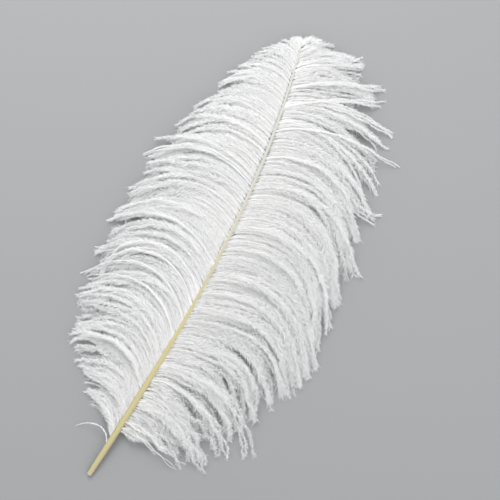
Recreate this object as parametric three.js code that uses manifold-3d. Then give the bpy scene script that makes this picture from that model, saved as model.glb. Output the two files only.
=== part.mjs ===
// A white ostrich plume lying on a table, upper side up: a cream shaft and two vanes of
// loose, drooping locks. Millimetres, +Z up. +Y runs from the quill's cut end to the
// shaft's tip and +X to the wider vane.
import * as THREE from 'three';
import { LoftGeometry } from 'three/addons/geometries/LoftGeometry.js';
import { mergeVertices } from 'three/addons/utils/BufferGeometryUtils.js';
import Module from 'manifold-3d';

const wasm = await Module();
wasm.setup();

// ---- the shaft ----
const CHORD = 410;                  // straight line from the cut end to the tip
const BOW = [0, 16.5, 30, 0];       // sideways places of the curve's four control points
const RISE = [2.4, 20, 24, 7];      // their heights: the ends lie low and the middle is arched
const TIP_WIDTH = 1.4;
const SHAFT_SWELL = 4.5;            // what the thickest part adds to the tip's width
const THINNING = 0.7;               // how soon the shaft thins towards the tip
const QUILL_LENGTH = 75;            // the shaft widens over this length from its cut end
const QUILL_PINCH = 0.27;           // share that the cut end is narrower by
const SHAFT_DEPTH = 0.86;           // height of the section over its width
const SHAFT_SIDES = 10;
const SHAFT_STEPS = 20;

// ---- the vanes ----
// Each row combs one place of a vane: the place along the shaft as a share of the chord,
// the barbs' heading where they leave, their heading at the tip, both in degrees away
// from +Y, and their length in millimetres.
const RIGHT_COMB = [
  { at: 0.112, leave: 86, tip: 100, length: 44 },
  { at: 0.135, leave: 74, tip: 118, length: 50 },
  { at: 0.175, leave: 60, tip: 136, length: 72 },
  { at: 0.22, leave: 50, tip: 150, length: 79 },
  { at: 0.43, leave: 40, tip: 148, length: 122 },
  { at: 0.56, leave: 41, tip: 149, length: 130 },
  { at: 0.67, leave: 42, tip: 142, length: 118 },
  { at: 0.76, leave: 44, tip: 131, length: 113 },
  { at: 0.88, leave: 42, tip: 102, length: 92 },
  { at: 0.95, leave: 32, tip: 86, length: 58 },
  { at: 1, leave: 8, tip: 60, length: 13 },
];
const LEFT_COMB = [
  { at: 0.08, leave: 14, tip: 82, length: 38 },
  { at: 0.12, leave: 24, tip: 106, length: 54 },
  { at: 0.18, leave: 33, tip: 122, length: 75 },
  { at: 0.27, leave: 33, tip: 130, length: 102 },
  { at: 0.4, leave: 40, tip: 138, length: 106 },
  { at: 0.6, leave: 62, tip: 142, length: 103 },
  { at: 0.78, leave: 66, tip: 142, length: 83 },
  { at: 0.83, leave: 65, tip: 140, length: 76 },
  { at: 0.92, leave: 62, tip: 136, length: 51 },
  { at: 1, leave: 16, tip: 90, length: 9 },
];
// The right barbs turn away sharply beside the shaft and then bend evenly. The left ones
// bend most half way out, and near the tip evenly.
const RIGHT_KICK = 0.35;
const KICK_REACH = 0.09;
const LEFT_SWING = 0.9;
const LEFT_SWING_ENDS = 0.6;

const LOCKS = 28;                   // locks in each vane
const LOCK_OVERLAP = 1.6;           // root width of a lock over the distance to the next
const GATHERS_FROM = 0.64;          // share of its length where a lock starts to narrow
const LOCK_TIP = 0.3;               // width left at its end
const LOCK_CROWN = 1.25;            // half thickness of a lock
const TIP_CROWN = 0.75;             // the same at its tip
const LOCK_SHINGLE = 0.6;           // one edge of each lock lies this much over the next
const TIP_FLUFF = 4;                // what the fluff adds to a barb's length
const LOCK_LIFT = 5;                // barbs rise this much before they droop
const FULL_LIFT_LENGTH = 100;       // shorter ones rise less, in proportion
const LOCK_DROOP = 2.2;             // how late they come down to the table
const LENGTH_SPREAD = 0.06;         // share by which the locks' lengths differ
const HEADING_SPREAD = 5;           // degrees by which their tips stray
const LOCK_STEPS = 7;
const FLOW_STEPS = 5;               // finer steps that each of those is worked out in
const SHAFT_GAP = 0.3;              // clearance between a vane and the shaft

// Thin locks that have come loose from the rest: place, extra turn at the tip in degrees,
// length over that of their neighbours, and width in millimetres.
const RIGHT_STRAYS = [
  { at: 0.118, turn: 14, longer: 1.27, width: 3 },
  { at: 0.135, turn: 0, longer: 1.28, width: 4 },
  { at: 0.18, turn: 0, longer: 1.1, width: 4 },
  { at: 0.295, turn: 0, longer: 1.28, width: 4 },
  { at: 0.71, turn: 0, longer: 1.16, width: 4 },
  { at: 0.84, turn: 6, longer: 1.15, width: 4 },
];
const LEFT_STRAYS = [
  { at: 0.064, turn: 58, longer: 1.13, width: 2.5 },
  { at: 0.335, turn: -8, longer: 1.06, width: 4 },
  { at: 0.505, turn: -8, longer: 1.05, width: 3.5 },
  { at: 0.69, turn: -8, longer: 1.12, width: 3.5 },
];

const SHAFT_COLOUR = 0xd8cda2;
const VANE_COLOUR = 0xeeeeec;

// ---- the shaft's line ----
const shaftCurve = new THREE.CubicBezierCurve3(
  ...BOW.map((x, i) => new THREE.Vector3(x, CHORD * i / 3, RISE[i])),
);

function shaftWidth(at) {
  const quill = Math.max(0, 1 - at * CHORD / QUILL_LENGTH);
  const width = TIP_WIDTH + SHAFT_SWELL * (1 - at) ** THINNING;
  return width * (1 - QUILL_PINCH * quill ** 2);
}

// An upright oval across the shaft.
function shaftSection(at) {
  const centre = shaftCurve.getPoint(at);
  const along = shaftCurve.getTangent(at);
  const side = new THREE.Vector3(along.y, -along.x, 0).normalize();
  const up = new THREE.Vector3().crossVectors(side, along);
  const halfWidth = shaftWidth(at) / 2;
  const halfDepth = halfWidth * SHAFT_DEPTH;
  return Array.from({ length: SHAFT_SIDES }, (_, k) => {
    const angle = -2 * Math.PI * k / SHAFT_SIDES;
    return centre.clone()
      .addScaledVector(side, halfWidth * Math.cos(angle))
      .addScaledVector(up, halfDepth * Math.sin(angle));
  });
}

function shaftGeometry() {
  const sections = Array.from({ length: SHAFT_STEPS + 1 }, (_, i) => shaftSection(i / SHAFT_STEPS));
  return closedLoft(sections);
}

// A loft with both ends capped, with its faces pointing out.
function closedLoft(sections) {
  return new LoftGeometry(sections, { capStart: true, capEnd: true });
}

// ---- the flow of the barbs ----
function combAt(comb, at) {
  const last = comb.length - 1;
  const next = THREE.MathUtils.clamp(comb.findIndex((row) => row.at > at), 1, last);
  const [from, to] = at >= comb[last].at ? [comb[last], comb[last]] : [comb[next - 1], comb[next]];
  const share = THREE.MathUtils.clamp((at - from.at) / (to.at - from.at || 1), 0, 1);
  const mix = (name) => THREE.MathUtils.lerp(from[name], to[name], share);
  return { leave: mix('leave'), tip: mix('tip'), length: mix('length') };
}

// How much of its turn a barb has made, a share v along it.
function rightBend(v) {
  const kick = (1 - Math.exp(-v / KICK_REACH)) / (1 - Math.exp(-1 / KICK_REACH));
  return THREE.MathUtils.lerp(v, kick, RIGHT_KICK);
}

function leftBend(v, at) {
  const swing = LEFT_SWING * THREE.MathUtils.clamp((1 - at) / LEFT_SWING_ENDS, 0, 1);
  return THREE.MathUtils.lerp(v, THREE.MathUtils.smoothstep(v, 0, 1), swing);
}

// The line of a barb that leaves the shaft at a place, as points from root to tip.
function barbLine(vane, at, turn, longer) {
  const { leave, tip, length } = combAt(vane.comb, at);
  const root = shaftCurve.getPoint(Math.min(at, 1));
  const reach = length * longer + TIP_FLUFF;
  const points = [];
  const place = root.clone();
  const steps = LOCK_STEPS * FLOW_STEPS;
  for (let i = 0; i <= steps; i += 1) {
    const v = i / steps;
    if (i % FLOW_STEPS === 0) {
      const fall = v ** LOCK_DROOP;
      const arch = LOCK_LIFT * Math.min(1, reach / FULL_LIFT_LENGTH) * Math.sin(Math.PI * v);
      place.z = THREE.MathUtils.lerp(root.z, LOCK_CROWN, fall) + arch;
      points.push(place.clone());
    }
    const share = vane.bend((i + 0.5) / steps, at);
    const heading = THREE.MathUtils.degToRad(leave + (tip + turn - leave) * share);
    place.x += vane.side * Math.sin(heading) * reach / steps;
    place.y += Math.cos(heading) * reach / steps;
  }
  return points;
}

// ---- a lock: a band with a ridge above and below, gathered to a blunt tip ----
function lockGeometry(vane, lock) {
  const middle = barbLine(vane, lock.at, lock.turn, lock.longer);
  const lower = barbLine(vane, lock.at - lock.spread, lock.turn, lock.longer);
  const upper = barbLine(vane, lock.at + lock.spread, lock.turn, lock.longer);
  const sections = middle.map((centre, i) => {
    const v = i / LOCK_STEPS;
    const gathered = THREE.MathUtils.smoothstep(v, GATHERS_FROM, 1);
    const width = THREE.MathUtils.lerp(1, LOCK_TIP, gathered);
    const crown = THREE.MathUtils.lerp(LOCK_CROWN, TIP_CROWN, gathered);
    const tilt = LOCK_SHINGLE * (1 - v);
    const across = (edge, share, height) => {
      const point = centre.clone().lerp(edge[i], width * share);
      point.z += height;
      return point;
    };
    return [
      across(lower, 1, -tilt),
      across(lower, 0, crown),
      across(upper, 1, tilt),
      across(upper, 0, -crown),
    ];
  });
  return closedLoft(vane.side > 0 ? sections.map((section) => section.reverse()) : sections);
}

// A repeatable number from -1 to 1 for each lock.
function wobble(index, kind) {
  const value = Math.sin(index * 12.9898 + kind * 78.233) * 43758.5453;
  return 2 * (value - Math.floor(value)) - 1;
}

function locksOf(vane) {
  const first = vane.comb[0].at;
  const step = (1 - first) / (LOCKS - 1);
  const rows = Array.from({ length: LOCKS }, (_, i) => ({
    at: first + i * step,
    spread: step * LOCK_OVERLAP / 2,
    turn: HEADING_SPREAD * wobble(i, vane.side),
    longer: 1 + LENGTH_SPREAD * wobble(i, 2 * vane.side),
  }));
  const strays = vane.strays.map(({ at, turn, longer, width }) => (
    { at, turn, longer, spread: width / 2 / CHORD }));
  return [...rows, ...strays];
}

// ---- joining and cutting ----
function toSolid(geometry) {
  const bare = new THREE.BufferGeometry().copy(geometry);
  bare.deleteAttribute('normal');
  bare.deleteAttribute('uv');
  const merged = mergeVertices(bare, 1e-4);
  return new wasm.Manifold(new wasm.Mesh({
    numProp: 3,
    vertProperties: new Float32Array(merged.attributes.position.array),
    triVerts: new Uint32Array(merged.index.array),
  }));
}

function fromSolid(solid) {
  const mesh = solid.getMesh();
  const geometry = new THREE.BufferGeometry();
  geometry.setAttribute('position', new THREE.BufferAttribute(mesh.vertProperties, 3));
  geometry.setIndex(new THREE.BufferAttribute(mesh.triVerts, 1));
  geometry.computeVertexNormals();
  return geometry;
}

// Everything on the far side of one flank of the shaft, carried on straight past its tip.
function farSide(side) {
  const reach = CHORD;
  const flank = Array.from({ length: SHAFT_STEPS + 1 }, (_, i) => {
    const at = i / SHAFT_STEPS;
    const centre = shaftCurve.getPoint(at);
    const along = shaftCurve.getTangent(at);
    const out = side * (shaftWidth(at) / 2 + SHAFT_GAP);
    return new THREE.Vector2(centre.x + out * along.y, centre.y - out * along.x);
  });
  const beyond = flank[SHAFT_STEPS].clone().sub(flank[SHAFT_STEPS - 1]).setLength(reach);
  const outline = new THREE.Shape([
    new THREE.Vector2(flank[0].x, -reach),
    ...flank,
    flank[SHAFT_STEPS].clone().add(beyond),
    new THREE.Vector2(-side * reach, CHORD + reach),
    new THREE.Vector2(-side * reach, -reach),
  ]);
  const wall = new THREE.ExtrudeGeometry(outline, { depth: 2 * reach, bevelEnabled: false });
  return toSolid(wall.translate(0, 0, -reach));
}

function vaneGeometry(vane) {
  const locks = locksOf(vane).map((lock) => toSolid(lockGeometry(vane, lock)));
  const whole = locks.reduce((joined, lock) => joined.add(lock));
  return fromSolid(whole.subtract(farSide(vane.side)));
}

// ---- the feather ----
function namedMesh(name, geometry, colour, roughness) {
  const material = new THREE.MeshStandardMaterial({ color: colour, roughness, metalness: 0 });
  const mesh = new THREE.Mesh(geometry, material);
  mesh.name = name;
  return mesh;
}

const rightVane = { side: 1, comb: RIGHT_COMB, bend: rightBend, strays: RIGHT_STRAYS };
const leftVane = { side: -1, comb: LEFT_COMB, bend: leftBend, strays: LEFT_STRAYS };

const feather = new THREE.Group();
feather.add(
  namedMesh('shaft', shaftGeometry(), SHAFT_COLOUR, 0.4),
  namedMesh('left_vane', vaneGeometry(leftVane), VANE_COLOUR, 0.85),
  namedMesh('right_vane', vaneGeometry(rightVane), VANE_COLOUR, 0.85),
);

// The origin is on the table, under the middle of the feather's own box.
const box = new THREE.Box3().setFromObject(feather, true);
const centre = box.getCenter(new THREE.Vector3());
feather.position.set(-centre.x, -centre.y, -box.min.z);

export default feather;
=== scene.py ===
import math
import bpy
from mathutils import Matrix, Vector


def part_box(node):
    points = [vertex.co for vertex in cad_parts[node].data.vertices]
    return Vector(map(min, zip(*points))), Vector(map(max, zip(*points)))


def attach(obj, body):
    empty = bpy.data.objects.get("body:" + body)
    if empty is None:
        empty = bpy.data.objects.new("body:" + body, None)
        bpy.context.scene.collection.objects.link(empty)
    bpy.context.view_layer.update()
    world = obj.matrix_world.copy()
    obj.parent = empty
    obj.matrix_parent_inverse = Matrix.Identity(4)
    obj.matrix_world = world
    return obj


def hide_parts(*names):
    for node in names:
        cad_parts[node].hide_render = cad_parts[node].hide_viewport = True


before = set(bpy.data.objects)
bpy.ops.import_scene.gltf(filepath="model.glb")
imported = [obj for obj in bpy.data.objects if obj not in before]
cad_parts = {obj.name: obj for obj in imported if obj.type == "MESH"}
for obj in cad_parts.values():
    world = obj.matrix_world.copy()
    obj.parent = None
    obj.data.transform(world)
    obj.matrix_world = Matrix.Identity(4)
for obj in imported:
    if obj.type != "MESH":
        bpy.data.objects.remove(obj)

from types import SimpleNamespace

import bpy
import numpy as np
from bpy.props import FloatProperty, FloatVectorProperty, IntProperty, PointerProperty
from mathutils import Matrix, Vector

bl_info = {
    "name": "Ostrich plume",
    "version": (1, 0, 0),
    "blender": (4, 5, 0),
    "location": "View3D > Sidebar > Plume",
    "description": "Dresses a plume's plain solids with its quill and its loose, fluffy barbs",
    "category": "Object",
}

BODY = "root"
MM = 0.001

# ---- the plume's own frame, in millimetres: the cut end of the quill is at x = y = 0,
# ---- +Y runs to the shaft's tip, +X to the wider vane and +Z up ----
CHORD = 410.0                        # straight line from the cut end to the tip
BOW = (0.0, 16.5, 30.0, 0.0)         # sideways places of the shaft's four control points
RISE = (2.4, 20.0, 24.0, 7.0)        # their heights
TIP_WIDTH = 1.4
SHAFT_SWELL = 4.5                    # what the thickest part adds to the tip's width
THINNING = 0.7                       # how early the shaft thins: the power of its taper
QUILL_LENGTH = 75.0                  # the shaft widens over this length from its cut end
QUILL_PINCH = 0.27                   # share that the cut end is narrower by
SHAFT_DEPTH = 0.86                   # height of the shaft's section over its width
SOLID_SIDES, SOLID_STEPS = 10, 20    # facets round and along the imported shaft

# One place of a vane a row: its share of the chord, the barbs' heading where they leave
# and at their tips, in degrees away from +Y, and their length.
RIGHT_COMB = (
    (0.112, 82, 94, 44),
    (0.135, 72, 114, 53),
    (0.175, 60, 136, 77),
    (0.22, 50, 149, 86),
    (0.3, 46, 149, 105),
    (0.38, 42, 148, 121),
    (0.43, 40, 148, 131),
    (0.56, 41, 149, 138),
    (0.67, 42, 142, 122),
    (0.76, 44, 131, 114),
    (0.88, 42, 102, 86),
    (0.95, 31, 79, 57),
    (1.0, 8, 60, 13),
)
LEFT_COMB = (
    (0.08, 14, 82, 38),
    (0.12, 24, 106, 54),
    (0.18, 33, 122, 75),
    (0.27, 33, 130, 102),
    (0.4, 40, 138, 106),
    (0.6, 62, 142, 103),
    (0.78, 66, 142, 83),
    (0.83, 65, 140, 76),
    (0.92, 62, 136, 47),
    (1.0, 16, 90, 7),
)
RIGHT_KICK = 0.35                    # share of the right barbs' turn made beside the shaft
KICK_REACH = 0.09                    # share of a barb's length that this takes
# Where along the right barbs the rest of their turn is made, lower and higher up the shaft
LOW_SWING = (0.3, 0.95)
HIGH_SWING = (0.12, 0.85)
SWING_RISES = (0.35, 0.55)           # up the shaft, where the one becomes the other
SWING_FROM = (0.2, 0.32)             # up the shaft, where the right barbs begin to swing
SWING_TO = (0.72, 0.85)              # and where they end
LEFT_SWING = 0.9                     # how much the left barbs turn most half way out
LEFT_SWING_ENDS = 0.6                # that is full from this share of the chord below the tip

LOCKS = 28                           # locks in each vane
LENGTH_SPREAD = 0.06                 # share by which their lengths differ
HEADING_SPREAD = 5.0                 # degrees by which their headings do
LOCK_LIFT = 5.0                      # how high a barb arches half way along
FULL_LIFT_LENGTH = 100.0             # length of the shortest barb that arches so high
LOCK_DROOP = 2.2                     # how late a barb comes down: the power of its fall
TIP_HEIGHT = 1.25                    # height of a barb's tip over the table

# Strays, barbs that have come loose: share of the chord, extra turn at the tip, length over
# that of their neighbours, how far the very tip curls over in degrees, how fluffy they
# are and how many.
RIGHT_STRAYS = (
    (0.118, 14, 1.32, 0, 0.25, 2),
    (0.135, 6, 1.22, 0, 0.8, 3),
    (0.18, 0, 1.1, 0, 0.9, 3),
    (0.2, 6, 1.12, 0, 0.7, 2),
    (0.235, -4, 1.14, 8, 0.7, 3),
    (0.27, 4, 1.26, -8, 0.9, 3),
    (0.75, -4, 1.02, -45, 0.7, 3),
    (0.81, -18, 1.11, 0, 0.4, 2),
    (0.82, 10, 1.05, 0, 0.8, 3),
    (0.83, 18, 1.05, 0, 0.8, 3),
    (0.86, 2, 1.08, 0, 0.7, 3),
    (0.86, -34, 0.96, 0, 0.6, 3),
    (0.87, -6, 1.11, -4, 0.6, 4),
    (0.9, -18, 1.02, -8, 0.8, 5),
    (0.94, 2, 1.02, -28, 0.8, 3),
    (0.95, 2, 1.05, -34, 0.8, 3),
    (0.995, -30, 0.7, 0, 1.0, 3),
)
LEFT_STRAYS = (
    (0.064, 58, 1.13, 0, 0.3, 1),
    (0.335, -8, 1.06, 0, 0.6, 2),
    (0.37, 6, 1.11, 0, 0.5, 2),
    (0.41, 24, 1.2, 50, 0.6, 3),
    (0.425, 32, 1.15, 30, 0.6, 3),
    (0.44, 20, 1.12, 75, 0.6, 3),
    (0.505, -8, 1.05, 0, 0.7, 3),
    (0.69, -8, 1.12, 0, 0.6, 3),
    (0.995, -60, 0.8, 0, 1.0, 3),
)

# The two vanes: how fluffy their barbs' ends are, fewest and most barbs in a tuft, where along
# a barb its tuft gathers and how tightly, how much the wisps' heights differ lower and higher
# up and where that changes, the share of wisps that is broken, and the seed.
VANES = {
    "left": SimpleNamespace(side=-1, comb=LEFT_COMB, strays=LEFT_STRAYS, node="left_vane",
                            brush=0.6, tuft=(7, 16), tuft_from=0.6, tuft_grip=(0.05, 0.6),
                            relief=(1.8, 0.7), flatter=(0.12, 0.3), broken=0.14,
                            seed=11),
    "right": SimpleNamespace(side=1, comb=RIGHT_COMB, strays=RIGHT_STRAYS, node="right_vane",
                             brush=0.85, tuft=(5, 10), tuft_from=0.35, tuft_grip=(0.2, 0.9),
                             relief=(1.75, 0.2), flatter=(0.45, 0.75), broken=0.3,
                             seed=23),
}
STRETCHES = ("base", "middle", "tip")    # each vane is dressed in three pieces
ROUNDING = 1e-9                          # lets the last barb into the last piece

# ---- how the barbs lie ----
BARB_STEPS = 20                      # edges of a finished barb
FLOW_STEPS = 48                      # steps that its line is worked out in
BARB_TURN = 4.0                      # degrees by which single barbs stray
BARB_LENGTH = 0.06                   # share by which their lengths differ
BARB_LIFT = (0.8, 1.2)               # lowest and highest arch beside that of their wisp
BARB_SHORTER = 0.04                  # how much shorter they are than their wisp
LONGEST = 0.05                       # share that wisps and barbs outgrow their lock by
HOOK = 12.0                          # degrees that the barbs' very tips turn off by
HOOK_FROM = 0.7                      # share of their length where that starts
NEAT_TIP = (0.8, 0.93)               # along the shaft, where the barbs get neater
NEATNESS = 0.65                      # how much less they stray at its tip
LOOSE_SHARE = 0.1                    # of the barbs lie across their neighbours
LOOSE_TURN = 11.0                    # degrees by which those stray
LOOSE_LIFT = 0.4                     # how much higher they arch
LOOSE_GRIP = 0.2                     # how much a wisp or a tuft still holds them

# the bed: barbs that lie evenly, under the others
BED_SHARE = 0.36                     # of all barbs
BED_LENGTH = 0.93                    # how long they are beside the others
BED_TURN = 2.0                       # degrees by which they stray
BED_LIFT = (0.3, 0.85)               # lowest and highest arch
BED_REST = (0.9, 2.0)                # lowest and highest tip over the table
BED_FLUFF = 1.2                      # how fluffy they are beside the others
BED_SPLAY = 1.35                     # and how far their barbules lean out

# wisps of barbs that cling together, and tufts that wisps gather into
WISP_BARBS = (1, 6)                  # fewest and most barbs in a wisp
WISP_TURN = 3.5                      # degrees by which the wisps' tips stray
WISP_LENGTH = 0.055                  # share by which their lengths differ
WISP_LIFT = 1.05                     # the usual arch, beside a lock's
WISP_RELIEF = (-0.75, 0.6)           # what the lowest and highest add, times the vane's relief
WISP_REST = (0.9, 5.0)               # lowest and highest tip over the table
WISP_GRIP = (0.0, 0.75)              # how much narrower a wisp gets to its tip
WISP_GATHERS = (0.5, 0.88)           # share of its length where that starts
LOCK_MINGLING = 0.9                  # how many locks away a wisp may belong
ROOT_JITTER = 0.3                    # how far roots stray, over the distance between them
LEANING = 3.5                        # degrees that long runs of wisps lean to and fro by
LEANING_WAVES = (46, 29)             # of that, in radians along the whole chord
TUFT_LENGTH = 1.03                   # a tuft's length over that of its lock
BROKEN_FROM = (0.45, 0.2)            # down the shaft, where some wisps are broken off
BROKEN_LENGTH = 0.66                 # share of their length that is left

# the tangled lower end of the right vane, and its strap-like upper ends
RUFFLED = (0.34, 0.12)               # down the shaft, where the barbs get tangled
RUFFLE = 2.8                         # how much more they ripple there
FRAYED = 0.85                        # how much less the tufts hold together
STRANDS = (0.6, 0.45)                # the grip of wisps there, and where they gather
STRANDS_TURN = 1.7                   # how much more the wisps' tips stray
STRAYING = 0.9                       # how much more the single barbs stray
THIN_FLUFF = 0.5                     # how much less fluffy the barbs' ends are
STRAPS = (0.72, 0.8)                 # up the shaft, where the ends part into straps
THIN_BED = (0.28, 0.1)               # how much shorter the bed is in either place

# How far strays that lie side by side differ, in the order of their table, and their arch
STRAY_SPREAD = (0.002, 2.0, 0.03, 6.0, 0.0)
STRAY_LIFT = (1.1, 1.7)

RIPPLE_LENGTH = (16, 34)             # shortest and longest ripple of a barb
RIPPLE_SIZE = (0.12, 0.75)           # how far it sways at the root and at the tip
RIPPLE_PACES = (1, 0.7)              # of the ripples sideways and up and down
RIPPLE_HEAVE = 0.8                   # size of those up and down over those sideways

# ---- where the barbs start, and how low they lie ----
ROOTS_IN = 0.6                       # how far inside the shaft's flanks the barbs start
ROOTS_OVER = 0.55                    # how much further, where they grow over the flanks
OVER_FROM = (0.2, 0.45)              # along the shaft, where that begins
OVER_TO = (0.55, 0.85)               # and ends
ROOT_HEIGHT = (0.4, 0.95)            # of the shaft's half height, where it is bare and overgrown
ROOT_FALL = 0.1                      # share of a barb's length in which it comes down from it
FLATTEST_ROOT = 0.3                  # the least angle, in radians, that roots are cut back for
LONGEST_ROOT = 0.5                   # share of a barb that may be cut back
LOWEST_STALK = 0.45                  # height over the table
SOFT_TABLE = 0.6                     # fluff below this height is squashed onto the table

# ---- the fluff: a row of four is a value at the root, one at the tip, and the shares of a
# ---- barb's length that it changes between ----
ROOT_BRUSH = (0.95, 1.0, 0.0, 0.2)   # length of the barbules
END_BRUSH = (0.45, 0.98)             # where it changes to that of the vane's ends
ROOT_SPLAY = (0.8, 1.0, 0.0, 0.3)    # how far they lean out from the stalk
HANG = (-0.6, -0.3, 0.0, 0.7)        # how far they droop, in radians
SPREAD = (0.3, 1.0, 0.1, 0.9)        # how far that differs, in radians
TANGLED_END = (0.3, 0.8)             # where tangled barbs lean out more and get less fluffy
TIP_TRIM = (0.8, 0.95)               # along the shaft, where the barbs get less fluffy
TIP_FLUFF = 0.22                     # how much less fluffy they are at its tip
FLUFF_RANGE = (0.8, 1.15)            # the least and most fluffy barbs
GIRTH_RANGE = (0.85, 1.1)            # the thinnest and thickest stalks
END_GIRTH = 0.4                      # thickness of a stalk at its tip over that at its root
LEAN_RANGE = 0.16                    # radians that single barbules lean more or less by
LENGTH_RANGE = (0.35, 1.2)           # the shortest and longest barbules
BARE_ROOT = 0.03                     # share of a barb's length where barbules may be missing


# ------------------------------------------------------------------ lines in the plume

def smooth(x, low, high):
    """A smooth rise from 0 at low to 1 at high."""
    t = np.clip((x - low) / (high - low), 0, 1)
    return t * t * (3 - 2 * t)


def mix(a, b, share):
    return a + (b - a) * share


def wobble(index, kind):
    """A repeatable number from -1 to 1."""
    value = np.sin(index * 12.9898 + kind * 78.233) * 43758.5453
    return 2 * (value - np.floor(value)) - 1


def shaft_control():
    return np.array([[x, CHORD * i / 3, z] for i, (x, z) in enumerate(zip(BOW, RISE))])


def shaft_points(at):
    """Centre of the shaft at shares of the chord."""
    at = np.clip(np.asarray(at, float), 0, 1)[..., None]
    a, b, c, d = shaft_control()
    back = 1 - at
    return back ** 3 * a + 3 * back ** 2 * at * b + 3 * back * at ** 2 * c + at ** 3 * d


def shaft_directions(at):
    """Unit vectors along the shaft, across it and up from it."""
    at = np.clip(np.asarray(at, float), 0, 1)[..., None]
    a, b, c = np.diff(shaft_control(), axis=0)
    along = (1 - at) ** 2 * a + 2 * (1 - at) * at * b + at ** 2 * c
    along /= np.linalg.norm(along, axis=-1, keepdims=True)
    across = np.stack([along[..., 1], -along[..., 0], 0 * along[..., 0]], -1)
    across /= np.linalg.norm(across, axis=-1, keepdims=True)
    return along, across, np.cross(across, along)


def shaft_width(at):
    at = np.clip(np.asarray(at, float), 0, 1)
    quill = np.maximum(0, 1 - at * CHORD / QUILL_LENGTH)
    return (TIP_WIDTH + SHAFT_SWELL * (1 - at) ** THINNING) * (1 - QUILL_PINCH * quill ** 2)


def overgrown(at):
    """How much the barbs' roots hide the shaft's flanks, from 0 to 1."""
    return smooth(at, *OVER_FROM) * (1 - smooth(at, *OVER_TO))


def shaft_ring(at, sides, scale=1.0):
    """Points round the shaft at each place, from its right flank over its top."""
    at = np.asarray(at, float)
    angle = np.linspace(0, 2 * math.pi, sides, endpoint=False)
    _, across, up = shaft_directions(at)
    half = (shaft_width(at) / 2 * scale)[:, None, None]
    round_it = (across[:, None] * np.cos(angle)[None, :, None]
                + SHAFT_DEPTH * up[:, None] * np.sin(angle)[None, :, None])
    return shaft_points(at)[:, None] + half * round_it


def row_offset():
    """What moves the plume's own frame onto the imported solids, in millimetres."""
    own = shaft_ring(np.linspace(0, 1, SOLID_STEPS + 1), SOLID_SIDES).reshape(-1, 3)
    return np.array(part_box("shaft")[0]) / MM - own.min(0)


OFFSET = row_offset()


def in_row(points):
    """Points of the plume's own frame in the row frame, in metres."""
    return (np.asarray(points) + OFFSET) * MM


# ------------------------------------------------------------------ where the barbs run

def comb_at(comb, at):
    rows = np.array(comb, float)
    return [np.interp(at, rows[:, 0], rows[:, k]) for k in (1, 2, 3)]


def bend(side, v, at):
    """How much of its turn a barb has made, a share v along it."""
    if side > 0:
        kick = (1 - np.exp(-v / KICK_REACH)) / (1 - math.exp(-1 / KICK_REACH))
        higher = smooth(at, *SWING_RISES)
        start, end = (mix(low, high, higher) for low, high in zip(LOW_SWING, HIGH_SWING))
        swings = smooth(at, *SWING_FROM) * (1 - smooth(at, *SWING_TO))
        return mix(mix(v, smooth(v, start, end), swings), kick, RIGHT_KICK)
    swing = LEFT_SWING * np.clip((1 - at) / LEFT_SWING_ENDS, 0, 1)
    return mix(v, smooth(v, 0, 1), swing)


def level_way(count):
    """How barbs lie where nothing disturbs them."""
    return {"turn": np.zeros(count), "longer": np.ones(count), "lift": np.ones(count),
            "hook": np.zeros(count), "rest": np.full(count, TIP_HEIGHT)}


def barb_lines(vane, at, way):
    """Barbs that leave the shaft at places, as an array of points from root to tip."""
    at = at[:, None]
    turn, longer, lift, hook, rest = (
        way[name][:, None] for name in ("turn", "longer", "lift", "hook", "rest"))
    leave, tip, length = comb_at(vane.comb, at)
    reach = length * longer
    middle = (np.arange(FLOW_STEPS) + 0.5)[None] / FLOW_STEPS
    heading = leave + (tip + turn - leave) * bend(vane.side, middle, at)
    heading = np.radians(heading + hook * smooth(middle, HOOK_FROM, 1))
    root = shaft_points(at[:, 0])[:, None]
    v = np.linspace(0, 1, FLOW_STEPS + 1)[None]
    still = np.zeros_like(at)
    x = np.cumsum(np.hstack([still, vane.side * np.sin(heading) * reach / FLOW_STEPS]), 1)
    y = np.cumsum(np.hstack([still, np.cos(heading) * reach / FLOW_STEPS]), 1)
    arch = LOCK_LIFT * lift * np.minimum(1, reach / FULL_LIFT_LENGTH) * np.sin(math.pi * v)
    z = mix(root[..., 2], rest, v ** LOCK_DROOP) + arch
    return np.stack([root[..., 0] + x, root[..., 1] + y, z], -1)


def lock_way(vane, at, astray=0.0):
    """Turn and length that the vane's locks give to barbs, which may be some locks astray."""
    step = (1 - vane.comb[0][0]) / (LOCKS - 1)
    place = np.clip((at - vane.comb[0][0]) / step + astray, 0, LOCKS - 1)
    lock = np.arange(LOCKS)
    way = level_way(len(at))
    way["turn"] += HEADING_SPREAD * np.interp(place, lock, wobble(lock, vane.side))
    way["longer"] += LENGTH_SPREAD * np.interp(place, lock, wobble(lock, 2 * vane.side))
    return way


def ruffled(vane, at):
    """How tangled a vane is, from 0 to 1: only the right one is, at its lower end."""
    return smooth(at, *RUFFLED) if vane.side > 0 else np.zeros_like(at)


def strapped(vane, at):
    """How much a vane's ends part into straps, from 0 to 1: high up on the right one."""
    return smooth(at, *STRAPS) if vane.side > 0 else np.zeros_like(at)


def untidy(at):
    """How much barbs stray, from less at the shaft's tip to 1."""
    return 1 - NEATNESS * smooth(at, *NEAT_TIP)


def bunches(at, sizes, draw):
    """The number of the bunch of neighbours that each barb is in, and the bunches' middles."""
    members = draw.integers(*sizes, len(at), endpoint=True)
    bunch = np.repeat(np.arange(len(at)), members)[:len(at)]
    return bunch, np.bincount(bunch, at) / np.bincount(bunch)


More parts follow.
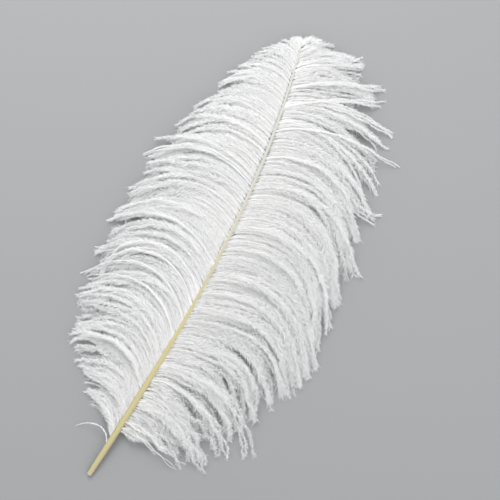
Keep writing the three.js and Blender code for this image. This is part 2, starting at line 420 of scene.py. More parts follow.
def bed_barbs(vane, count):
    """Even barbs close to the table that the others lie on."""
    draw = np.random.default_rng(vane.seed + 3)
    at = np.linspace(vane.comb[0][0], 1, count)
    way = lock_way(vane, at)
    way["turn"] += draw.normal(0, BED_TURN, count)
    way["longer"] *= BED_LENGTH + draw.normal(0, BARB_LENGTH, count) * untidy(at)
    way["longer"] *= 1 - THIN_BED[0] * ruffled(vane, at) - THIN_BED[1] * strapped(vane, at)
    way["lift"] *= draw.uniform(*BED_LIFT, count)
    way["rest"] = draw.uniform(*BED_REST, count)
    way["hook"] += draw.normal(0, HOOK, count) * untidy(at)
    return SimpleNamespace(at=at, line=barb_lines(vane, at, way),
                           fluff=np.full(count, BED_FLUFF), splay=np.full(count, BED_SPLAY))


def combed_barbs(vane, count):
    """The vane's upper barbs, clinging together in wisps, which gather into tufts."""
    draw = np.random.default_rng(vane.seed)
    at = np.linspace(vane.comb[0][0], 1, count)
    jitter = draw.uniform(-ROOT_JITTER, ROOT_JITTER, count)
    at = np.clip(at + jitter * (at[1] - at[0]), 0, 1)
    wisp, middle = bunches(at, WISP_BARBS, draw)
    wisps = len(middle)

    way = lock_way(vane, middle, draw.uniform(-LOCK_MINGLING, LOCK_MINGLING, wisps))
    leaning = sum(0.5 * np.sin(middle * waves + k * vane.seed)
                  for k, waves in enumerate(LEANING_WAVES, 1))
    calm = untidy(middle)
    tangled = ruffled(vane, middle)
    wanders = draw.normal(0, WISP_TURN, wisps) * (1 + STRANDS_TURN * tangled)
    way["turn"] += (LEANING * leaning + wanders) * calm
    way["longer"] *= 1 + np.minimum(draw.normal(0, WISP_LENGTH, wisps), LONGEST) * calm
    relief = mix(*vane.relief, smooth(middle, *vane.flatter))
    way["lift"] = WISP_LIFT + relief * draw.uniform(*WISP_RELIEF, wisps)
    way["rest"] = draw.uniform(*WISP_REST, wisps)
    way["hook"] = draw.normal(0, HOOK, wisps) * calm
    grip, gathers = (mix(draw.uniform(*usual, wisps), strand, tangled)[wisp]
                     for usual, strand in zip((WISP_GRIP, WISP_GATHERS), STRANDS))
    broken = draw.random(wisps) < vane.broken * smooth(middle, *BROKEN_FROM)
    way["longer"] *= np.where(broken, BROKEN_LENGTH, 1)
    mid_line = barb_lines(vane, middle, way)[wisp]

    loose = draw.random(count) < LOOSE_SHARE
    hold = np.where(loose, LOOSE_GRIP, 1)
    own = {name: value[wisp] for name, value in way.items()}
    astray = 1 + STRAYING * ruffled(vane, at)
    stray = np.where(loose, LOOSE_TURN, BARB_TURN) * astray * untidy(at)
    own["turn"] = own["turn"] + draw.normal(0, 1, count) * stray
    longer = np.minimum(draw.normal(-BARB_SHORTER, BARB_LENGTH, count), LONGEST) * untidy(at)
    own["longer"] = own["longer"] * (1 + longer)
    own["lift"] = own["lift"] * draw.uniform(*BARB_LIFT, count) + LOOSE_LIFT * loose
    own["hook"] = own["hook"] + draw.normal(0, HOOK, count)
    line = barb_lines(vane, at, own)
    v = np.linspace(0, 1, FLOW_STEPS + 1)[None]
    held = (hold * grip)[:, None] * smooth(v, gathers[:, None], 1)
    line = mix(line, mid_line, held[..., None])

    tuft, middle = bunches(at, vane.tuft, draw)
    grip = draw.uniform(*vane.tuft_grip, len(middle))[tuft] * (1 - FRAYED * ruffled(vane, at))
    way = lock_way(vane, middle)
    way["longer"] *= TUFT_LENGTH
    tuft_line = barb_lines(vane, middle, way)[tuft]
    held = (hold * grip)[:, None] * smooth(v, vane.tuft_from, 1)
    line = mix(line, tuft_line, held[..., None])
    return SimpleNamespace(at=at, line=line, fluff=np.ones(count), splay=np.ones(count))


def stray_barbs(vane):
    """A few barbs side by side for each row of the vane's strays."""
    draw = np.random.default_rng(vane.seed + 1)
    table = np.array(vane.strays, float)
    rows = np.repeat(table[:, :5], table[:, 5].astype(int), 0)
    rows += draw.normal(0, 1, rows.shape) * STRAY_SPREAD
    way = level_way(len(rows))
    way["turn"] += rows[:, 1]
    way["longer"] *= rows[:, 2]
    way["hook"] += rows[:, 3]
    way["lift"] *= draw.uniform(*STRAY_LIFT, len(rows))
    line = barb_lines(vane, rows[:, 0], way)
    return SimpleNamespace(at=rows[:, 0], line=line, fluff=rows[:, 4],
                           splay=np.ones(len(rows)))


def rippled(line, reach, more, draw):
    """The lines with the slight waves of soft fibres, wider towards their tips."""
    count = len(line)
    v = np.linspace(0, 1, FLOW_STEPS + 1)[None]
    along = np.gradient(line, axis=1)
    along /= np.linalg.norm(along, axis=-1, keepdims=True)
    across = np.cross(along, (0, 0, 1))
    waves = reach[:, None] / draw.uniform(*RIPPLE_LENGTH, (count, 1))
    sway, heave = (np.sin(2 * math.pi * (v * waves * pace + draw.random((count, 1))))
                   for pace in RIPPLE_PACES)
    size = mix(*RIPPLE_SIZE, v) * (1 + more[:, None])
    line = line + (size * sway)[..., None] * across
    line[..., 2] += RIPPLE_HEAVE * size * heave
    return line


def changing(v, first, last, start, end):
    """A value that changes from first to last between two shares of a barb's length."""
    return mix(first, last, smooth(v, start, end))


def guide_data(vane, count):
    """Every barb of a vane as BARB_STEPS + 1 points, with what its fluff needs to know."""
    draw = np.random.default_rng(vane.seed + 2)
    under = round(count * BED_SHARE)
    groups = [bed_barbs(vane, under), combed_barbs(vane, count - under), stray_barbs(vane)]
    at, line, bushy, splay = (np.concatenate([getattr(group, name) for group in groups])
                              for name in ("at", "line", "fluff", "splay"))
    reach = np.linalg.norm(np.diff(line, axis=1), axis=-1).sum(1)
    line = rippled(line, reach, RUFFLE * ruffled(vane, at) * np.minimum(bushy, 1), draw)
    number = len(at)
    leave = np.radians(comb_at(vane.comb, at)[0]).clip(FLATTEST_ROOT)
    flank = shaft_width(at) / 2 - ROOTS_IN - ROOTS_OVER * overgrown(at)
    start = np.clip(flank / np.sin(leave) / reach, 0, LONGEST_ROOT)
    v = mix(start[:, None], 1, np.linspace(0, 1, BARB_STEPS + 1)[None])
    place = v * FLOW_STEPS
    low = np.minimum(place.astype(int), FLOW_STEPS - 1)
    rows = np.arange(number)[:, None]
    points = mix(line[rows, low], line[rows, low + 1], (place - low)[..., None])
    raised = shaft_width(at) / 2 * SHAFT_DEPTH * mix(*ROOT_HEIGHT, overgrown(at))
    points[..., 2] += raised[:, None] * (1 - smooth(v, 0, ROOT_FALL))
    points[..., 2] = np.maximum(points[..., 2], LOWEST_STALK)

    def each(least, most):
        return draw.uniform(least, most, (number, 1))

    brush = changing(v, *ROOT_BRUSH) * changing(v, 1, vane.brush, *END_BRUSH)
    brush = brush * (1 - TIP_FLUFF * smooth(at, *TIP_TRIM))[:, None]
    tangle = ruffled(vane, at)[:, None] * smooth(v, *TANGLED_END)
    fluff = brush * bushy[:, None] * (1 - THIN_FLUFF * tangle) * each(*FLUFF_RANGE)
    return SimpleNamespace(
        at=at,
        points=points,
        reach=reach,
        attributes={
            "along": v,
            "fluff": fluff,
            "splay": splay[:, None] * changing(v, *ROOT_SPLAY) + tangle,
            "girth": mix(1, END_GIRTH, v) * each(*GIRTH_RANGE),
            "hang": changing(v, *HANG),
            "spread": changing(v, *SPREAD),
            "tone": each(0, 1) + 0 * v,
        },
    )


# ------------------------------------------------------------------ node helpers

def pick(sockets, name):
    """A socket by number, by identifier or by the name of one that is in use."""
    if isinstance(name, int):
        return sockets[name]
    for socket in sockets:
        if socket.identifier == name and socket.enabled:
            return socket
    return next(s for s in sockets if s.name == name and s.enabled)


class Maker:
    """Adds nodes to a tree: settings first, then the values or links of the sockets."""

    def __init__(self, tree):
        self.tree = tree

    def node(self, kind, settings=None, inputs=None):
        made = self.tree.nodes.new(kind)
        for name, value in (settings or {}).items():
            setattr(made, name, value)
        for name, value in (inputs or {}).items():
            self.feed(pick(made.inputs, name), value)
        return made

    def term(self, kind, settings=None, inputs=None, output=0):
        return Term(self, pick(self.node(kind, settings, inputs).outputs, output))

    def feed(self, socket, value):
        if isinstance(value, Term):
            self.tree.links.new(value.socket, socket)
        else:
            socket.default_value = value

    def vector(self, operation, *values):
        return self.term("ShaderNodeVectorMath", {"operation": operation},
                         dict(enumerate(values)))

    def scaled(self, vector, size):
        return self.term("ShaderNodeVectorMath", {"operation": "SCALE"},
                         {0: vector, "Scale": size})

    def attribute(self, name):
        return self.term("GeometryNodeInputNamedAttribute", {"data_type": "FLOAT"},
                         {"Name": name}, "Attribute")

    def colours(self, share, a, b):
        return self.term("ShaderNodeMix", {"data_type": "RGBA"},
                         {"Factor_Float": share, "A_Color": a, "B_Color": b}, "Result")


class Term:
    """A socket that sums can be written with."""

    def __init__(self, maker, socket):
        self.maker = maker
        self.socket = socket

    def math(self, operation, *values):
        return self.maker.term("ShaderNodeMath", {"operation": operation},
                               dict(enumerate(values)))

    def __add__(self, other):
        return self.math("ADD", self, other)

    def __sub__(self, other):
        return self.math("SUBTRACT", self, other)

    def __mul__(self, other):
        return self.math("MULTIPLY", self, other)

    def __truediv__(self, other):
        return self.math("DIVIDE", self, other)

    def __rsub__(self, other):
        return self.math("SUBTRACT", other, self)

    __radd__ = __add__
    __rmul__ = __mul__

    def cosine(self):
        return self.math("COSINE", self)

    def sine(self):
        return self.math("SINE", self)


def rgba(colour):
    return (*colour, 1.0)


# ------------------------------------------------------------------ materials

def new_material(name):
    material = bpy.data.materials.new(name)
    material.use_nodes = True
    material.node_tree.nodes.clear()
    return material, Maker(material.node_tree)


PALES = (0.3, 0.82)                  # along the shaft, where its horn gets paler
CUT_DRY = 0.012                      # share of the shaft that is paler at its cut end
THROUGH = 0.48                       # share of the light that the fluff lets through
STALK_DENSE = 0.3                    # how much less of it the stalks do


def horn_material(settings):
    """Cream horn, whiter at its cut end and towards the tip, with fine lengthwise streaks."""
    material, maker = new_material("plume_horn")
    place = maker.term("ShaderNodeTexCoord", output="Object")
    long_streaks = maker.term("ShaderNodeMapping", inputs={
        "Vector": place, "Scale": (900, 14, 900)})
    streak = maker.term("ShaderNodeTexNoise", inputs={
        "Vector": long_streaks, "Scale": 1.0, "Detail": 4.0, "Roughness": 0.55}, output="Fac")
    blotch = maker.term("ShaderNodeTexNoise", inputs={
        "Vector": place, "Scale": 60.0, "Detail": 2.0}, output="Fac")
    low, high = (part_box("shaft")[k].y for k in (0, 1))
    y = maker.term("ShaderNodeSeparateXYZ", inputs={"Vector": place}, output="Y")
    share = (y - low) * (1 / (high - low))
    pale = maker.term("ShaderNodeMapRange", {"interpolation_type": "SMOOTHSTEP"},
                      {"Value": share, "From Min": PALES[0], "From Max": PALES[1]})
    cut = maker.term("ShaderNodeMapRange", {"interpolation_type": "SMOOTHSTEP"},
                     {"Value": share, "From Min": CUT_DRY, "From Max": 0.0})
    horn = maker.colours(streak * 0.5 + blotch * 0.35, rgba(settings.deep), rgba(settings.horn))
    horn = maker.colours(pale, horn, rgba(settings.tip))
    horn = maker.colours(cut * 0.7, horn, rgba(settings.tip))
    bump = maker.term("ShaderNodeBump", inputs={
        "Strength": 0.25, "Distance": 0.0002, "Height": streak}, output="Normal")
    shader = maker.term("ShaderNodeBsdfPrincipled", inputs={
        "Base Color": horn, "Roughness": 0.34 + streak * 0.16, "Normal": bump,
        "Subsurface Weight": 0.12, "Subsurface Radius": (1.0, 0.8, 0.5),
        "Subsurface Scale": 0.002})
    maker.node("ShaderNodeOutputMaterial", inputs={"Surface": shader})
    return material


def fluff_material(settings):
    """White stalks in greyer, translucent fluff, each barb in a slightly different white."""
    material, maker = new_material("plume_fluff")
    tone, along, stalk = (
        maker.term("ShaderNodeAttribute", {"attribute_name": name}, output="Fac")
        for name in ("tone", "along", "stalk"))
    place = maker.term("ShaderNodeTexCoord", output="Object")
    patch = maker.term("ShaderNodeTexNoise", inputs={
        "Vector": place, "Scale": 28.0, "Detail": 2.0}, output="Fac")
    white = maker.colours(tone * 0.6 + patch * 0.4, rgba(settings.shade), rgba(settings.white))
    white = maker.colours((1 - along) * 0.18, white, rgba(settings.root))
    white = maker.colours(stalk, white, rgba(settings.stalk_white))
    solid = maker.term("ShaderNodeBsdfPrincipled", inputs={
        "Base Color": white, "Roughness": 0.55, "Specular IOR Level": 0.4})
    through = maker.term("ShaderNodeBsdfTranslucent", inputs={"Color": rgba(settings.white)})
    shader = maker.term("ShaderNodeMixShader", inputs={
        "Fac": THROUGH - stalk * STALK_DENSE, "Shader": solid, "Shader_001": through})
    maker.node("ShaderNodeOutputMaterial", inputs={"Surface": shader})
    return material


def floor_material(settings):
    """An even, pale, matt surface."""
    material, maker = new_material("studio_floor")
    shader = maker.term("ShaderNodeBsdfPrincipled", inputs={
        "Base Color": rgba(settings.floor), "Roughness": 0.9, "Specular IOR Level": 0.1})
    maker.node("ShaderNodeOutputMaterial", inputs={"Surface": shader})
    return material


# ------------------------------------------------------------------ meshes

def new_object(name, vertices, faces=(), edges=()):
    mesh = bpy.data.meshes.new(name)
    mesh.from_pydata([tuple(p) for p in vertices], list(edges), [tuple(f) for f in faces])
    mesh.update()
    made = bpy.data.objects.new(name, mesh)
    bpy.context.scene.collection.objects.link(made)
    return made


def ring_faces(first, second, sides):
    """Quads between two rings of points, given the number of each ring's first point."""
    return [(first + k, first + (k + 1) % sides, second + (k + 1) % sides, second + k)
            for k in range(sides)]


RIM_BEVEL = 0.35                     # millimetres that the cut end's rim is rounded over
DENTS_FROM = 0.4                     # along the quill, where the shaft's dents begin
# The shaft's long dents: their place round it in half turns from its right flank, their
# width in radians, and their depth over the shaft's half width.
GROOVE = (1.5, 0.45, 0.22)           # below
CREASE = (0.56, 0.12, 0.045)         # above


def shaft_mesh(settings):
    """One closed skin: the hollow of the cut quill, its rim, the shaft and its tip."""
    sides, steps = settings.sides, settings.steps
    hollow, bevel = settings.hollow, RIM_BEVEL / CHORD
    mouth = np.array([               # places and sizes of the cut end's rings
        (settings.hollow_depth / MM / CHORD, 0.8 * hollow),
        (0.25 / CHORD, hollow),
        (0, 1.1 * hollow),
        (0, 0.86),
        (bevel, 0.97),
    ])
    runs = np.concatenate([mouth[:, 0], mix(2.5 * bevel, 1, np.linspace(0, 1, steps))])
    scales = np.concatenate([mouth[:, 1], np.ones(steps)])
    rings = shaft_ring(runs, sides, scales)
    angle = np.linspace(0, 2 * math.pi, sides, endpoint=False)
    _, _, up = shaft_directions(runs)
    vaned = smooth(runs * CHORD, DENTS_FROM * QUILL_LENGTH, QUILL_LENGTH)
    half = shaft_width(runs) / 2
    groove, crease = (
        np.exp(-((angle - place * math.pi) / width) ** 2)[None] * (depth * vaned * half)[:, None]
        for place, width, depth in (GROOVE, CREASE))
    rings += (groove - crease)[..., None] * up[:, None]
    poles = [rings[0].mean(0), shaft_points(1.0) + (0, TIP_WIDTH / 3, 0)]
    count = len(rings)
    faces = [f for k in range(count - 1) for f in ring_faces(k * sides, (k + 1) * sides, sides)]
    inner, tip, last = count * sides, count * sides + 1, (count - 1) * sides
    faces += [(inner, (k + 1) % sides, k) for k in range(sides)]
    faces += [(tip, last + k, last + (k + 1) % sides) for k in range(sides)]
    points = in_row(np.concatenate([rings.reshape(-1, 3), poles]))
    return new_object("shaft_horn", points, [f[::-1] for f in faces])


def barbule_object():
    """A barbule one unit long along Z and one wide: a slim blade, broadest half way."""
    corners = [(0, 0, 0), (0.5, 0.12, 0.45), (-0.5, 0.12, 0.45), (0, 0, 1)]
    return new_object("barbule", corners, [(0, 2, 1), (1, 2, 3), (0, 1, 3), (0, 3, 2)])


def guide_object(name, data, chosen):
    """Barb lines as loose edges, with their attributes on the points."""
    points = in_row(data.points[chosen])
    lines, run = points.shape[:2]
    first = np.arange(lines)[:, None] * run + np.arange(run - 1)[None]
    edges = np.stack([first, first + 1], -1).reshape(-1, 2)
    guide = new_object(name, points.reshape(-1, 3), edges=edges.tolist())
    for title, values in data.attributes.items():
        layer = guide.data.attributes.new(title, "FLOAT", "POINT")
        layer.data.foreach_set("value", values[chosen].astype(np.float32).ravel())
    return guide


def fluff_tree():
    """Node tree that turns barb lines into barbs: a tapering stalk with two rows of barbules."""
    tree = bpy.data.node_groups.new("Fluffy barbs", "GeometryNodeTree")
    face = tree.interface
    face.new_socket(name="Barbs", in_out="INPUT", socket_type="NodeSocketGeometry")
    for name, kind in (
        ("Stalk radius", "NodeSocketFloat"),
        ("Barbule length", "NodeSocketFloat"),
        ("Barbule width", "NodeSocketFloat"),
        ("Barbule spacing", "NodeSocketFloat"),
        ("Lean at root", "NodeSocketFloat"),
        ("Lean at tip", "NodeSocketFloat"),
        ("Table", "NodeSocketFloat"),
        ("Seed", "NodeSocketInt"),
        ("Barbule", "NodeSocketObject"),
        ("Material", "NodeSocketMaterial"),
    ):
        face.new_socket(name=name, in_out="INPUT", socket_type=kind)
    face.new_socket(name="Barbs", in_out="OUTPUT", socket_type="NodeSocketGeometry")

    maker = Maker(tree)
    given = maker.node("NodeGroupInput")
    value = {s.name: Term(maker, s) for s in given.outputs if s.name}
    curves = maker.term("GeometryNodeMeshToCurve", inputs={"Mesh": value["Barbs"]})

    # the stalk
    thick = maker.term("GeometryNodeSetCurveRadius", inputs={
        "Curve": curves, "Radius": maker.attribute("girth") * value["Stalk radius"]})
    section = maker.term("GeometryNodeCurvePrimitiveCircle", {"mode": "RADIUS"},
                         {"Resolution": 3, "Radius": 1.0})
    stalks = maker.term("GeometryNodeCurveToMesh", inputs={
        "Curve": thick, "Profile Curve": section, "Scale": maker.attribute("radius"),
        "Fill Caps": True})
    stalks = maker.term("GeometryNodeStoreNamedAttribute",
                        {"data_type": "FLOAT", "domain": "POINT"},
                        {"Geometry": stalks, "Name": "stalk", "Value": 1.0})

    # the barbules, which grow in turn from either side of the stalk
    spots = maker.node("GeometryNodeCurveToPoints", {"mode": "LENGTH"},
                       {"Curve": curves, "Length": value["Barbule spacing"]})
    points, along = (Term(maker, pick(spots.outputs, n)) for n in ("Points", "Tangent"))
    number = maker.term("GeometryNodeInputIndex")

    def chance(low, high, kind):
        return maker.term("FunctionNodeRandomValue", {"data_type": "FLOAT"}, {
            "Min_001": low, "Max_001": high, "Seed": value["Seed"] + kind}, "Value")

    row = number.math("MODULO", number, 2.0) * 2.0 - 1.0
    share = maker.attribute("along")
    lean = value["Lean at root"] + (value["Lean at tip"] - value["Lean at root"]) * share
    lean = lean * maker.attribute("splay") + chance(-LEAN_RANGE, LEAN_RANGE, 1)
    tilt = maker.attribute("hang") + chance(-1.0, 1.0, 2) * maker.attribute("spread")
    aside = maker.vector("NORMALIZE", maker.vector("CROSS_PRODUCT", along, (0, 0, 1)))
    over = maker.vector("CROSS_PRODUCT", aside, along)
    outward = maker.vector("ADD", maker.scaled(aside, tilt.cosine() * row),
                           maker.scaled(over, tilt.sine()))
    way = maker.vector("ADD", maker.scaled(along, lean.cosine()),
                       maker.scaled(outward, lean.sine()))
    flat = maker.vector("ADD", maker.vector("CROSS_PRODUCT", way, (0, 0, 1)),
                        maker.scaled((0, 0, 1), chance(-1.0, 1.0, 4)))
    turned = maker.term("FunctionNodeAlignRotationToVector", {"axis": "Z"}, {"Vector": way})
    turned = maker.term("FunctionNodeAlignRotationToVector", {"axis": "X", "pivot_axis": "Z"}, {
        "Rotation": turned, "Vector": flat})
    length = value["Barbule length"] * maker.attribute("fluff") * chance(*LENGTH_RANGE, 3)
    size = maker.term("ShaderNodeCombineXYZ", inputs={
        "X": value["Barbule width"], "Y": value["Barbule width"], "Z": length})
    shape = maker.term("GeometryNodeObjectInfo", inputs={"Object": value["Barbule"]},
                       output="Geometry")
    grows = share.math("GREATER_THAN", share, chance(0.0, BARE_ROOT, 5))
    placed = maker.term("GeometryNodeInstanceOnPoints", inputs={
        "Points": points, "Selection": grows, "Instance": shape, "Rotation": turned,
        "Scale": size})
    barbules = maker.term("GeometryNodeRealizeInstances", inputs={"Geometry": placed})

    # both together, with what lies lowest squashed onto the table
    joined = maker.node("GeometryNodeJoinGeometry")
    for part in (barbules, stalks):
        tree.links.new(part.socket, joined.inputs[0])
    spot = maker.term("GeometryNodeInputPosition")
    parts = maker.node("ShaderNodeSeparateXYZ", inputs={"Vector": spot})
    x, y, z = (Term(maker, s) for s in parts.outputs)
    table = value["Table"]
    squashed = z.math("EXPONENT", z.math("MINIMUM", z, table) / table - 1) - 1
    raised = maker.term("ShaderNodeCombineXYZ", inputs={
        "X": x, "Y": y, "Z": z.math("MAXIMUM", z, table) + squashed * table})
    laid = maker.term("GeometryNodeSetPosition", inputs={
        "Geometry": Term(maker, joined.outputs[0]), "Position": raised})
    finished = maker.term("GeometryNodeSetMaterial", inputs={
        "Geometry": laid, "Material": value["Material"]})
    out = maker.node("NodeGroupOutput")
    maker.feed(out.inputs[0], finished)
    return tree


def dressed(guide, tree, values):
    """The guide's evaluated modifier result as a plain mesh; the guide is removed."""
    modifier = guide.modifiers.new("Fluff", "NODES")
    modifier.node_group = tree
    for item in tree.interface.items_tree:
        if item.in_out == "INPUT" and item.name in values:
            modifier[item.identifier] = values[item.name]
    graph = bpy.context.evaluated_depsgraph_get()
    mesh = bpy.data.meshes.new_from_object(guide.evaluated_get(graph))
    name = guide.name
    guide.modifiers.clear()
    bpy.data.objects.remove(guide)
    mesh.name = name
    if mesh.materials[0] is None:
        mesh.materials.pop(index=0)
    made = bpy.data.objects.new(name, mesh)
    bpy.context.scene.collection.objects.link(made)
    return made


def finish_piece(piece, node):
    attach(piece, BODY)
    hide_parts(node)


# ------------------------------------------------------------------ what a user may change

class ShaftSettings(bpy.types.PropertyGroup):
    """The horn shaft."""

    sides: IntProperty(name="Sides", description="Facets round the shaft", default=28, min=8)
    steps: IntProperty(name="Steps", description="Rings along the shaft", default=150, min=20)
    hollow: FloatProperty(
        name="Hollow", description="Width of the cut quill's hollow over its own", default=0.5)
    hollow_depth: FloatProperty(
        name="Hollow depth", description="How deep the hollow is open", default=0.006,
        subtype="DISTANCE", unit="LENGTH")
    horn: FloatVectorProperty(
        name="Horn", description="Colour of the light streaks", default=(0.455, 0.41, 0.232),
        subtype="COLOR", min=0, max=1)
    deep: FloatVectorProperty(
        name="Deep horn", description="Colour of the dark streaks", default=(0.37, 0.325, 0.155),
        subtype="COLOR", min=0, max=1)
    tip: FloatVectorProperty(
        name="Tip", description="Colour of the cut end and the tip", default=(0.385, 0.38, 0.355),
        subtype="COLOR", min=0, max=1)


class FluffSettings(bpy.types.PropertyGroup):
    """The barbs of both vanes."""

    barbs: IntProperty(name="Barbs", description="Barbs in each vane", default=290, min=10)
    stalk: FloatProperty(
        name="Stalk", description="Radius of a barb's stalk at its root", default=0.24 * MM,
        subtype="DISTANCE", unit="LENGTH")
    barbule: FloatProperty(
        name="Barbule", description="Length of a barbule", default=6.0 * MM,
        subtype="DISTANCE", unit="LENGTH")
    width: FloatProperty(
        name="Width", description="Width of a barbule half way along", default=0.38 * MM,
        subtype="DISTANCE", unit="LENGTH")
    spacing: FloatProperty(
        name="Spacing", description="Distance from one barbule to the next on the other row",
        default=0.26 * MM, subtype="DISTANCE", unit="LENGTH", precision=5)
    root_lean: FloatProperty(
        name="Root lean", description="Angle between barbule and stalk at the root",
        default=math.radians(35), subtype="ANGLE", unit="ROTATION")
    tip_lean: FloatProperty(
        name="Tip lean", description="The same at the tip", default=math.radians(30),
        subtype="ANGLE", unit="ROTATION")
    stalk_white: FloatVectorProperty(
        name="Stalk colour", description="Colour of the stalks", default=(0.97, 0.97, 0.965),
        subtype="COLOR", min=0, max=1)
    white: FloatVectorProperty(
        name="White", description="Colour of the whitest fluff", default=(0.93, 0.93, 0.93),
        subtype="COLOR", min=0, max=1)
    shade: FloatVectorProperty(
        name="Shade", description="Colour of the darkest fluff", default=(0.80, 0.81, 0.82),
        subtype="COLOR", min=0, max=1)
    root: FloatVectorProperty(
        name="Root", description="Tint beside the shaft", default=(0.86, 0.85, 0.80),
        subtype="COLOR", min=0, max=1)


class StageSettings(bpy.types.PropertyGroup):
    """Floor, lights and camera."""

    floor: FloatVectorProperty(
        name="Floor", description="Colour of the floor", default=(0.25, 0.255, 0.26),
        subtype="COLOR", min=0, max=1)
    key: FloatProperty(
        name="Key", description="Power of the main light", default=17.0, unit="POWER")
    fill: FloatProperty(
        name="Fill", description="Power of the soft light", default=4.0, unit="POWER")
    sky: FloatProperty(name="Sky", description="Strength of the even light", default=1.05)
    distance: FloatProperty(
        name="Distance", description="Camera's height over the plume", default=1.1,
        subtype="DISTANCE", unit="LENGTH")


# ------------------------------------------------------------------ operators

class PLUME_OT_shaft(bpy.types.Operator):
    """Make the horn shaft with its cut quill"""

    bl_idname = "plume.make_shaft"
    bl_label = "Make shaft"

    def execute(self, context):
        settings = context.scene.plume_shaft
        piece = shaft_mesh(settings)
        piece.data.materials.append(horn_material(settings))
        piece.data.polygons.foreach_set("use_smooth", [True] * len(piece.data.polygons))
        finish_piece(piece, "shaft")
        return {"FINISHED"}


def dress_vane(context, name):
    """Makes the three pieces of one vane's barbs, each with a third of their length."""
    vane = VANES[name]
    settings = context.scene.plume_fluff
    tree = bpy.data.node_groups.get("Fluffy barbs") or fluff_tree()
    material = bpy.data.materials.get("plume_fluff") or fluff_material(settings)
    blade = barbule_object()
    data = guide_data(vane, settings.barbs)
    order = np.argsort(data.at)
    share = np.cumsum(data.reach[order]) / data.reach.sum()
    for k, stretch in enumerate(STRETCHES):
        first, last = k / len(STRETCHES), (k + 1) / len(STRETCHES) + ROUNDING
        chosen = order[(share > first) & (share <= last)]
        guide = guide_object(f"{name}_barbs_{stretch}", data, chosen)
        piece = dressed(guide, tree, {
            "Stalk radius": settings.stalk,
            "Barbule length": settings.barbule,
            "Barbule width": settings.width,
            "Barbule spacing": settings.spacing,
            "Lean at root": settings.root_lean,
            "Lean at tip": settings.tip_lean,
            "Table": SOFT_TABLE * MM,
            "Seed": vane.seed + k,
            "Barbule": blade,
            "Material": material,
        })
        finish_piece(piece, vane.node)
    bpy.data.objects.remove(blade)


class PLUME_OT_left_vane(bpy.types.Operator):
    """Make the barbs of the narrower vane"""

    bl_idname = "plume.make_left_vane"
    bl_label = "Make left vane"

    def execute(self, context):
        dress_vane(context, "left")
        return {"FINISHED"}


class PLUME_OT_right_vane(bpy.types.Operator):
    """Make the barbs of the wider vane"""

    bl_idname = "plume.make_right_vane"
    bl_label = "Make right vane"

    def execute(self, context):
        dress_vane(context, "right")
        return {"FINISHED"}


# The camera looks straight down on the plume, which points to its upper right corner.
VIEW_CENTRE = (38.4, 233.0, 5.0)     # under the camera, in the plume's own frame
VIEW_WIDTH = 426.0                   # what it sees from side to side, in millimetres
VIEW_TURN = math.radians(26.27)      # of the picture's right-hand side from +X
SENSOR = 36.0
FLOOR_HALF = 4.0                     # metres from the floor's middle to its edges
# The lights: their place from the plume's middle, in metres along the picture's right-hand
# side, its upper side and up, and their width.
KEY_LIGHT = ((-0.2, 0.95, 1.0), 0.7)
FILL_LIGHT = ((0.95, -0.35, 0.9), 1.2)


def add_light(name, kind, target, power):
    """An area light that shines on the target."""
    place, width = kind
    away = Matrix.Rotation(VIEW_TURN, 3, "Z") @ Vector(place)
    data = bpy.data.lights.new(name, "AREA")
    data.energy = power
    data.size = width
    light = bpy.data.objects.new(name, data)
    bpy.context.scene.collection.objects.link(light)
    light.location = target + away
    light.rotation_euler = away.to_track_quat("Z", "Y").to_euler()


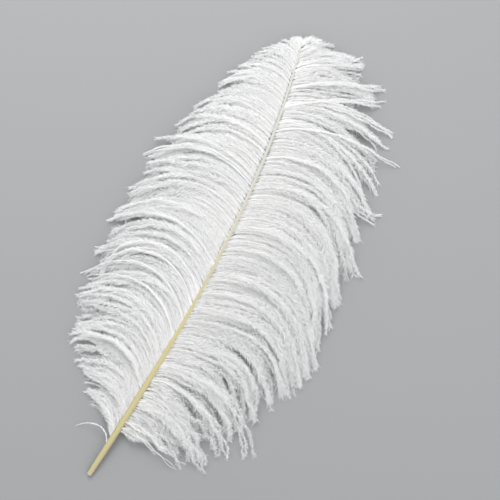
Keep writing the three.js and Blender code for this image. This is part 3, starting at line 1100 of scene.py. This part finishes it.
class PLUME_OT_stage(bpy.types.Operator):
    """Make the floor, the lights and the camera"""

    bl_idname = "plume.make_stage"
    bl_label = "Make stage"

    def execute(self, context):
        settings = context.scene.plume_stage
        corners = [(x * FLOOR_HALF, y * FLOOR_HALF, 0)
                   for x, y in ((-1, -1), (1, -1), (1, 1), (-1, 1))]
        floor = new_object("floor", corners, [(0, 1, 2, 3)])
        floor.data.materials.append(floor_material(settings))

        centre = Vector(in_row(VIEW_CENTRE))
        add_light("key", KEY_LIGHT, centre, settings.key)
        add_light("fill", FILL_LIGHT, centre, settings.fill)
        world = bpy.data.worlds.new("studio")
        context.scene.world = world
        world.use_nodes = True
        background = world.node_tree.nodes["Background"]
        background.inputs["Color"].default_value = (1, 1, 1, 1)
        background.inputs["Strength"].default_value = settings.sky
        context.scene.view_settings.view_transform = "Standard"

        data = bpy.data.cameras.new("camera")
        data.sensor_width = SENSOR
        data.lens = SENSOR * settings.distance / (VIEW_WIDTH * MM)
        camera = bpy.data.objects.new("camera", data)
        context.scene.collection.objects.link(camera)
        camera.location = centre + Vector((0, 0, settings.distance))
        camera.rotation_euler = (0, 0, VIEW_TURN)
        context.scene.camera = camera
        return {"FINISHED"}


class PLUME_PT_panel(bpy.types.Panel):
    """Shows the settings of the shaft, the barbs and the stage, each with the buttons that make
    them
    """

    bl_idname = "PLUME_PT_panel"
    bl_label = "Plume"
    bl_space_type = "VIEW_3D"
    bl_region_type = "UI"
    bl_category = "Plume"

    def draw(self, context):
        layout = self.layout
        for settings, operators in (
            (context.scene.plume_shaft, ("plume.make_shaft",)),
            (context.scene.plume_fluff, ("plume.make_left_vane", "plume.make_right_vane")),
            (context.scene.plume_stage, ("plume.make_stage",)),
        ):
            box = layout.box()
            for name in settings.__annotations__:
                box.prop(settings, name)
            for operator in operators:
                box.operator(operator)


PROPERTIES = {
    "plume_shaft": ShaftSettings,
    "plume_fluff": FluffSettings,
    "plume_stage": StageSettings,
}
CLASSES = (
    *PROPERTIES.values(),
    PLUME_OT_shaft,
    PLUME_OT_left_vane,
    PLUME_OT_right_vane,
    PLUME_OT_stage,
    PLUME_PT_panel,
)


def register():
    for made in CLASSES:
        bpy.utils.register_class(made)
    for name, group in PROPERTIES.items():
        setattr(bpy.types.Scene, name, PointerProperty(type=group))


def unregister():
    for name in PROPERTIES:
        delattr(bpy.types.Scene, name)
    for made in reversed(CLASSES):
        bpy.utils.unregister_class(made)


def main():
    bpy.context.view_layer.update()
    register()
    bpy.ops.plume.make_stage()
    bpy.ops.plume.make_shaft()
    bpy.ops.plume.make_left_vane()
    bpy.ops.plume.make_right_vane()


if __name__ == "__main__":
    main()
